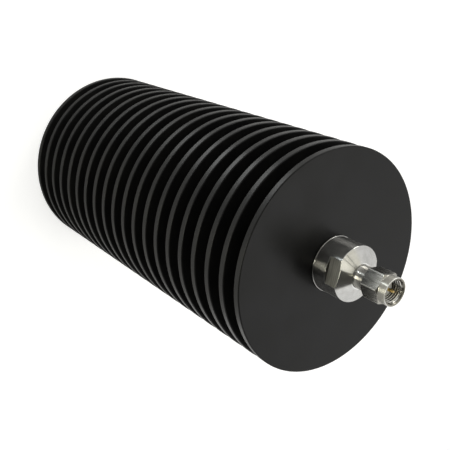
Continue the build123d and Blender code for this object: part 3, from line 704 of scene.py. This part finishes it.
# %% Coupling nut surface, with the thread spliced into its section
COLLAR_RADIUS = 3.93
COLLAR_START = NUT_END - 2.3
NUT_REAR_RADIUS = 3.92
NUT_BORE_RADIUS = 3.05
RELIEF_RADIUS = 3.3
RING_SLOT_RADIUS = 3.42
RING_SLOT_START, RING_SLOT_END = FACE + 14.95, FACE + 15.75
CHAMFER_SLOPE = 0.577
LEAST_CHAMFER = 0.05
front_drop = (hexagon - COLLAR_RADIUS) * CHAMFER_SLOPE
rear_rise = np.maximum(hexagon - NUT_REAR_RADIUS, LEAST_CHAMFER) * CHAMFER_SLOPE
nut_rows = [
    (NUT_BORE_RADIUS, NUT_START, 0.15),
    (np.minimum(NUT_REAR_RADIUS, hexagon - LEAST_CHAMFER), NUT_START, 0.03),
    (hexagon, NUT_START + rear_rise, 0.04), (hexagon, COLLAR_START - front_drop, 0.05),
    (COLLAR_RADIUS, COLLAR_START, 0.08), (COLLAR_RADIUS, NUT_END, 0.15), (MOUTH_RADIUS, NUT_END, 0.14),
    (thread_radii[0], cone_foot, 0.01), (thread_radii[-1], THREAD_START, 0.01),
    (RELIEF_RADIUS, THREAD_START, 0.05), (RELIEF_RADIUS, RING_SLOT_END, 0.05),
    (RING_SLOT_RADIUS, RING_SLOT_END, 0.03), (RING_SLOT_RADIUS, RING_SLOT_START, 0.03),
    (NUT_BORE_RADIUS, RING_SLOT_START, 0.05),
]
NUT_ARC = 3
SIDE_CORNER, RING_CORNER, THREAD_CORNER = 2, 5, 7
nut_grid, nut_cuts = section_grid(nut_rows, nut_angles)
nut_places, nut_tangents = softened(nut_grid, nut_cuts, NUT_ARC)
splice = THREAD_CORNER * (NUT_ARC + 1)
resume = (THREAD_CORNER + 2) * (NUT_ARC + 1)
nut_places = np.concatenate((nut_places[:splice], thread_places, nut_places[resume:]))
nut_tangents = np.concatenate((nut_tangents[:splice], thread_tangents, nut_tangents[resume:]))
nut_points, nut_normals = around_axis(nut_places, nut_tangents, nut_angles)

# %% Finishes of the coupling nut, and its mesh
# The corners are worn, and painted brighter as a painted highlight, out to the turn given below on both
# sides.
# The thread's crests and roots are painted near black, a painted shade: they are where its tangent moves
# less in radius than FLAT_TANGENT, below a height, given below, that is inside the cone.
COLLAR, DRAWN, THREAD, WORN_AND_LIT, THREAD_SHADE, RING_SHADE = range(6)
WORN_AND_LIT_TURN = 0.026
FLAT_TANGENT = 0.2
SHADE_BELOW = NUT_END - 0.75
nut_finish = np.full(nut_points.shape[:2], COLLAR)
at_corner = beside_corner(nut_angles) < WORN_AND_LIT_TURN
# Hexagon corners: worn, and painted brighter as a painted highlight.
nut_finish[side_after(SIDE_CORNER, NUT_ARC)] = np.where(at_corner, WORN_AND_LIT, DRAWN)
ring_row = side_after(RING_CORNER, NUT_ARC)
# The ring's outer rounding gets the brighter steel too: a painted highlight.
nut_finish[ring_row - NUT_ARC:ring_row] = WORN_AND_LIT
# The end ring and its inner edge get the steel painted darker: a painted shade.
nut_finish[ring_row:splice] = RING_SHADE
# The thread gets steel painted bright, a painted highlight, and its crests and roots steel painted near
# black, a painted shade.
nut_finish[splice:] = THREAD
shaded_thread = (np.abs(thread_tangents[..., 0]) < FLAT_TANGENT) & (thread_heights[:, None] < SHADE_BELOW)
nut_finish[splice:splice + THREAD_ROWS][shaded_thread] = THREAD_SHADE
nut_finishes = [nut_turned_steel, drawn_steel, thread_highlight_steel, worn_and_lit_edge, thread_shade_steel, shaded_ring_steel]
hexagon_nut = skinned("hexagon_nut", nut_points, nut_normals, nut_finishes, nut_finish)
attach(hexagon_nut, "coupling_nut")
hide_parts("coupling_nut")

# %% [markdown]
# ## Finishes of the pieces that keep their CAD mesh
#
# The contact, its insulator, the gasket and everything inside the bore are plain turned or stamped shapes
# that the CAD model already has right. They only need their finishes, which are given by the name of the
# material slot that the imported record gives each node.

# %% Finishes by material slot
slot_finishes = {
    "anodised_aluminium": black_anodising,
    "stainless_steel": turned_steel,
    "nut_steel": nut_turned_steel,
    "gold_plate": turned_metal(
        "gold_over_nickel", rings=16.0, low=(0.66, 0.46, 0.15), high=(0.80, 0.59, 0.25),
        roughness=(0.20, 0.30), bump_mm=0.0006),
    "fluoropolymer": grained_skin(
        "white_fluoropolymer", grains=9.0, patch_mm=1.5, low=(0.72, 0.72, 0.70), high=(0.80, 0.80, 0.78),
        roughness=(0.38, 0.48), bump_mm=0.003),
    "silicone_rubber": grained_skin(
        "orange_silicone", grains=10.0, patch_mm=1.2, low=(0.30, 0.07, 0.03), high=(0.36, 0.09, 0.04),
        roughness=(0.5, 0.6), bump_mm=0.004),
    "black_rubber": grained_skin(
        "black_rubber", grains=10.0, patch_mm=1.0, low=(0.012, 0.012, 0.012), high=(0.02, 0.02, 0.02),
        roughness=(0.5, 0.6), bump_mm=0.003),
    "amber_resin": grained_skin(
        "amber_resin", grains=5.0, patch_mm=2.0, low=(0.42, 0.20, 0.05), high=(0.50, 0.26, 0.07),
        roughness=(0.25, 0.35), bump_mm=0.002),
    "ceramic": grained_skin(
        "white_ceramic", grains=14.0, patch_mm=1.5, low=(0.74, 0.73, 0.70), high=(0.80, 0.79, 0.76),
        roughness=(0.45, 0.6), bump_mm=0.003),
    "copper": turned_metal(
        "bare_copper", rings=10.0, low=(0.80, 0.42, 0.28), high=(0.90, 0.52, 0.36), roughness=(0.22, 0.34),
        bump_mm=0.002),
    "plated_copper": grained_skin(
        "nickel_plated_copper", grains=10.0, patch_mm=3.0, low=(0.60, 0.58, 0.53), high=(0.68, 0.66, 0.60),
        roughness=(0.22, 0.32), bump_mm=0.002, metallic=1.0),
    "aluminium": turned_metal(
        "milled_aluminium", rings=8.0, low=(0.74, 0.75, 0.76), high=(0.82, 0.83, 0.84),
        roughness=(0.28, 0.38), bump_mm=0.003),
    "soft_metal_foil": grained_skin(
        "soft_metal_foil", grains=5.0, patch_mm=2.0, low=(0.62, 0.63, 0.66), high=(0.72, 0.73, 0.76),
        roughness=(0.3, 0.42), bump_mm=0.006, metallic=1.0),
    "spring_steel": turned_metal(
        "spring_steel", rings=9.0, low=(0.36, 0.35, 0.34), high=(0.46, 0.45, 0.43), roughness=(0.3, 0.42),
        bump_mm=0.002),
    "screw_steel": turned_metal(
        "screw_steel", rings=9.0, low=(0.48, 0.47, 0.46), high=(0.58, 0.57, 0.55), roughness=(0.26, 0.36),
        bump_mm=0.002),
}
for node in nodes.values():
    for place, old in enumerate(node.data.materials):
        node.data.materials[place] = slot_finishes[old.name.split(".")[0]]
print("finishes given to", len(nodes), "nodes")

# %% [markdown]
# ## The studio
#
# Polished steel shows nothing but its surroundings, so the studio matters as much as the metal. The cone in
# the photograph is light nearly all round, with one dark wedge and two thin grey lines. Where the cone's
# line at one turn is spread by its rings, it mirrors a whole plane of directions, so a wedge is a gap
# between two such planes and a grey line is one plane. The world is a white wall with that gap and those
# two seams, a darker room behind the camera, and a brighter panel behind the object, which the black front
# face mirrors. A picture of a studio could do the same, but a few directions say it in less. The camera
# itself sees white.

# %% Planes that the cone mirrors
CONE_LEAN = math.atan2(CONE_END - BODY_EDGE, BODY_RADIUS - CONE_END_RADIUS)
GAP_TURNS = (258, 303)
to_camera = (camera.location - Vector((0, 0, (FACE + CONE_END) * MM))).normalized()


def mirrored_plane(turn):
    """Normal of the plane of directions that one line of the cone spreads its reflection over.

    n is the cone's normal at that turn and t the direction down its slope. For a half vector h that leans
    from n toward t, the mirrored direction 2 (v . h) h - v moves through this plane, where v points to
    the camera."""
    outward = Vector((math.cos(math.radians(turn)), math.sin(math.radians(turn)), 0))
    normal = outward * math.sin(CONE_LEAN) + Vector((0, 0, math.cos(CONE_LEAN)))
    downhill = outward * math.cos(CONE_LEAN) - Vector((0, 0, math.sin(CONE_LEAN)))
    mirrored = 2 * normal.dot(to_camera) * normal - to_camera
    drift = 2 * normal.dot(to_camera) * downhill + 2 * downhill.dot(to_camera) * normal
    return mirrored.cross(drift).normalized()


gap_start, gap_end = (mirrored_plane(turn) for turn in GAP_TURNS)
print("the gap's planes are", round(math.degrees(gap_start.angle(gap_end)), 1), "degrees apart")

# %% Steps and mixtures of values
def stepped(tree, value, span, low=0.0, high=1.0):
    """A smooth step from low to high while the value goes from the span's start to its end."""
    node = tree.nodes.new("ShaderNodeMapRange")
    node.interpolation_type = "SMOOTHSTEP"
    for socket, number in zip(("From Min", "From Max", "To Min", "To Max"), (*span, low, high)):
        node.inputs[socket].default_value = number
    tree.links.new(value, node.inputs["Value"])
    return node.outputs["Result"]


def blended(tree, value, level, share):
    """The value where the share is 0, the level where it is 1, and a mixture of both between."""
    kept = calculated(tree, "MULTIPLY", value, calculated(tree, "SUBTRACT", 1.0, share))
    return calculated(tree, "ADD", kept, calculated(tree, "MULTIPLY", share, level))

# %% World: white walls with a dark gap and two seams
# A span is where a smooth step starts and ends, as the cosine between a ray's direction and an axis. The
# gap lies between its two planes and is closed again toward one side.
WALL_LEVEL = 0.78
SIDE_GLOW = 0.16
TOP_GLOW, TOP_SPAN = 0.45, (0.93, 1.0)
BACK_GLOW, BACK_SPAN = 2.2, (0.89, 0.99)
BACK_MIDDLE = Vector((0.16, 0.49, 0.857))
OVERHEAD_SPAN = (0.70, 0.85)
SEAM_TURNS, SEAM_SPAN, SEAM_DEPTH = (225, 235), (0.006, 0.022), 0.7
GAP_LEVEL, GAP_START_SPAN, GAP_END_SPAN = 0.07, (-0.03, 0.03), (-0.05, 0.05)
GAP_CLOSED_SIDE, GAP_CLOSED_SPAN = Vector((-0.17, 0.985, 0)), (0.45, 0.60)
ROOM_LEVEL, ROOM_SPAN = 0.22, (0.76, 0.88)
WHITE, WARM_WHITE = (1, 1, 1, 1), (1.0, 0.98, 0.88, 1)
world = bpy.data.worlds.new("white_studio")
bpy.context.scene.world = world
world.use_nodes = True
sky = world.node_tree
background = sky.nodes["Background"]
direction = sky.nodes.new("ShaderNodeTexCoord").outputs["Generated"]


def along(axis):
    """How far the direction of a ray points along an axis, from -1 to 1."""
    node = sky.nodes.new("ShaderNodeVectorMath")
    node.operation = "DOT_PRODUCT"
    node.inputs[1].default_value = axis
    sky.links.new(direction, node.inputs[0])
    return node.outputs["Value"]


sides = stepped(sky, along((1, 0, 0)), (0.0, 1.0), WALL_LEVEL, WALL_LEVEL + SIDE_GLOW)
walls = calculated(sky, "ADD", sides, stepped(sky, along((0, 0, 1)), TOP_SPAN, 0.0, TOP_GLOW))
walls = calculated(sky, "ADD", walls, stepped(sky, along(BACK_MIDDLE), BACK_SPAN, 0.0, BACK_GLOW))
overhead = stepped(sky, along((0, 0, 1)), OVERHEAD_SPAN)
for turn in SEAM_TURNS:
    beside_seam = calculated(sky, "ABSOLUTE", along(mirrored_plane(turn)))
    seam = calculated(sky, "MULTIPLY", stepped(sky, beside_seam, SEAM_SPAN, SEAM_DEPTH, 0.0), overhead)
    walls = calculated(sky, "MULTIPLY", walls, calculated(sky, "SUBTRACT", 1.0, seam))
gap = calculated(sky, "MULTIPLY", stepped(sky, along(gap_start), GAP_START_SPAN),
                 stepped(sky, along(gap_end), GAP_END_SPAN, 1.0, 0.0))
gap = calculated(sky, "MULTIPLY", gap, stepped(sky, along(GAP_CLOSED_SIDE), GAP_CLOSED_SPAN, 1.0, 0.0))
walls = blended(sky, walls, ROOM_LEVEL, stepped(sky, along(to_camera), ROOM_SPAN))
lit = blended(sky, walls, GAP_LEVEL, gap)
print("world of", len(sky.nodes), "nodes, walls", WALL_LEVEL, "gap", GAP_LEVEL, "room", ROOM_LEVEL)

# %% World: plain white for the camera, and a warm ceiling for the metal
def seen_directly(tree, rays):
    """1 for the rays that come from the camera, also through clear pieces, and 0 for all others.

    rays holds the outputs of the tree's Light Path node."""
    return calculated(tree, "MAXIMUM", rays["Is Camera Ray"], rays["Is Transmission Ray"])


shown_white = seen_directly(sky, sky.nodes.new("ShaderNodeLightPath").outputs)
sky.links.new(calculated(sky, "MAXIMUM", lit, shown_white), background.inputs["Strength"])
ceiling = sky.nodes.new("ShaderNodeMix")
ceiling.data_type = "RGBA"
ceiling.inputs["A"].default_value = WHITE
ceiling.inputs["B"].default_value = WARM_WHITE
warm = calculated(sky, "MULTIPLY", overhead, calculated(sky, "SUBTRACT", 1.0, shown_white))
sky.links.new(warm, ceiling.inputs["Factor"])
sky.links.new(ceiling.outputs["Result"], background.inputs["Color"])
print("the ceiling's colour for the metal is", WARM_WHITE[:3])

# %% [markdown]
# ## The lamps and the floor
#
# Five soft lamps, which the camera does not see, make the light bands: two upright strips at the sides for
# the stub, neck and collar, a small one below for the collar's brightest line, and two lower still for the
# fin rims, nearly hidden from the plug by the front face. Sun or spot lamps are so small in a mirror that
# they would leave dots instead of bands.
#
# The floor is matt and pale. Lit by the studio alone it would come out light grey, so it adds a glow of its
# own, enough for the camera to see white outside the soft shade of the part. The metal mirrors a weaker
# glow, which falls off near the foot of the part, where a floor lies in the part's own shade.

# %% Soft lamps
def soft_lamp(name, azimuth, elevation, distance_mm, width_mm, height_mm, strength, colour):
    """An upright area lamp in a direction from the plug, facing it. Azimuth is counted from +X towards +Y.
    The strength is its radiance, so its power is strength times pi times its area."""
    a, e = math.radians(azimuth), math.radians(elevation)
    toward_lamp = Vector((math.cos(a) * math.cos(e), math.sin(a) * math.cos(e), math.sin(e)))
    lamp_data = bpy.data.lights.new(name, "AREA")
    lamp_data.shape = "RECTANGLE"
    lamp_data.size = width_mm * MM
    lamp_data.size_y = height_mm * MM
    lamp_data.energy = strength * math.pi * lamp_data.size * lamp_data.size_y
    lamp_data.color = colour
    lamp = bpy.data.objects.new(name, lamp_data)
    lamp.location = Vector((0, 0, FACE * MM)) + toward_lamp * distance_mm * MM
    lamp.rotation_mode = "QUATERNION"
    lamp.rotation_quaternion = toward_lamp.to_track_quat("Z", "Y")
    lamp.visible_camera = False
    bpy.context.scene.collection.objects.link(lamp)
    print(name, "power", round(lamp_data.energy, 2), "W")


LAMPS = [
    ("front_strip", 278, -1, 300, 120, 172, 7.2, (1.0, 0.98, 0.84)),
    ("side_strip", 160, 5, 300, 120, 112, 6.5, (1.0, 0.99, 0.96)),
    ("low_lamp", 230, -15, 300, 30, 36, 41.0, (0.90, 0.97, 1.0)),
    ("rim_lamp", 211, -42, 150, 48, 60, 5.0, (0.98, 1.0, 1.0)),
    ("foot_lamp", 352, -34, 135, 44, 36, 1.1, (1.0, 1.0, 1.0)),
]
for lamp in LAMPS:
    soft_lamp(*lamp)

# %% Pale floor that keeps the shadow
FLOOR_HALF = 8.0
FLOOR_CORNERS = np.array([(-1, -1, 0), (1, -1, 0), (1, 1, 0), (-1, 1, 0)])
FLOOR_PAINT = (0.7, 0.7, 0.7, 1)
FLOOR_ROUGHNESS = 0.9
SEEN_GLOW = 0.57
FOOT_SHADE = (0.03, 0.16)
MIRRORED_GLOW = (0.06, 0.38)
floor_mesh = bpy.data.meshes.new("studio_floor")
floor_mesh.from_pydata(FLOOR_CORNERS * FLOOR_HALF, [], [(0, 1, 2, 3)])
studio_floor = bpy.data.objects.new("studio_floor", floor_mesh)
bpy.context.scene.collection.objects.link(studio_floor)
floor_paint = bpy.data.materials.new("pale_floor")
floor_paint.use_nodes = True
tree = floor_paint.node_tree
matt = tree.nodes["Principled BSDF"]
for socket, value in (("Base Color", FLOOR_PAINT), ("Roughness", FLOOR_ROUGHNESS),
                      ("Specular IOR Level", 0.0), ("Emission Color", WHITE)):
    matt.inputs[socket].default_value = value
from_axis = tree.nodes.new("ShaderNodeVectorMath")
from_axis.operation = "LENGTH"
tree.links.new(tree.nodes.new("ShaderNodeTexCoord").outputs["Object"], from_axis.inputs[0])
shade = stepped(tree, from_axis.outputs["Value"], FOOT_SHADE, *MIRRORED_GLOW)
rays = tree.nodes.new("ShaderNodeLightPath").outputs
glow = calculated(tree, "MAXIMUM", calculated(tree, "MULTIPLY", seen_directly(tree, rays), SEEN_GLOW),
                  calculated(tree, "MULTIPLY", rays["Is Glossy Ray"], shade))
tree.links.new(glow, matt.inputs["Emission Strength"])
floor_mesh.materials.append(floor_paint)
print("floor", 2 * FLOOR_HALF, "m wide, glowing", SEEN_GLOW, "for the camera and", MIRRORED_GLOW,
      "in the metal")
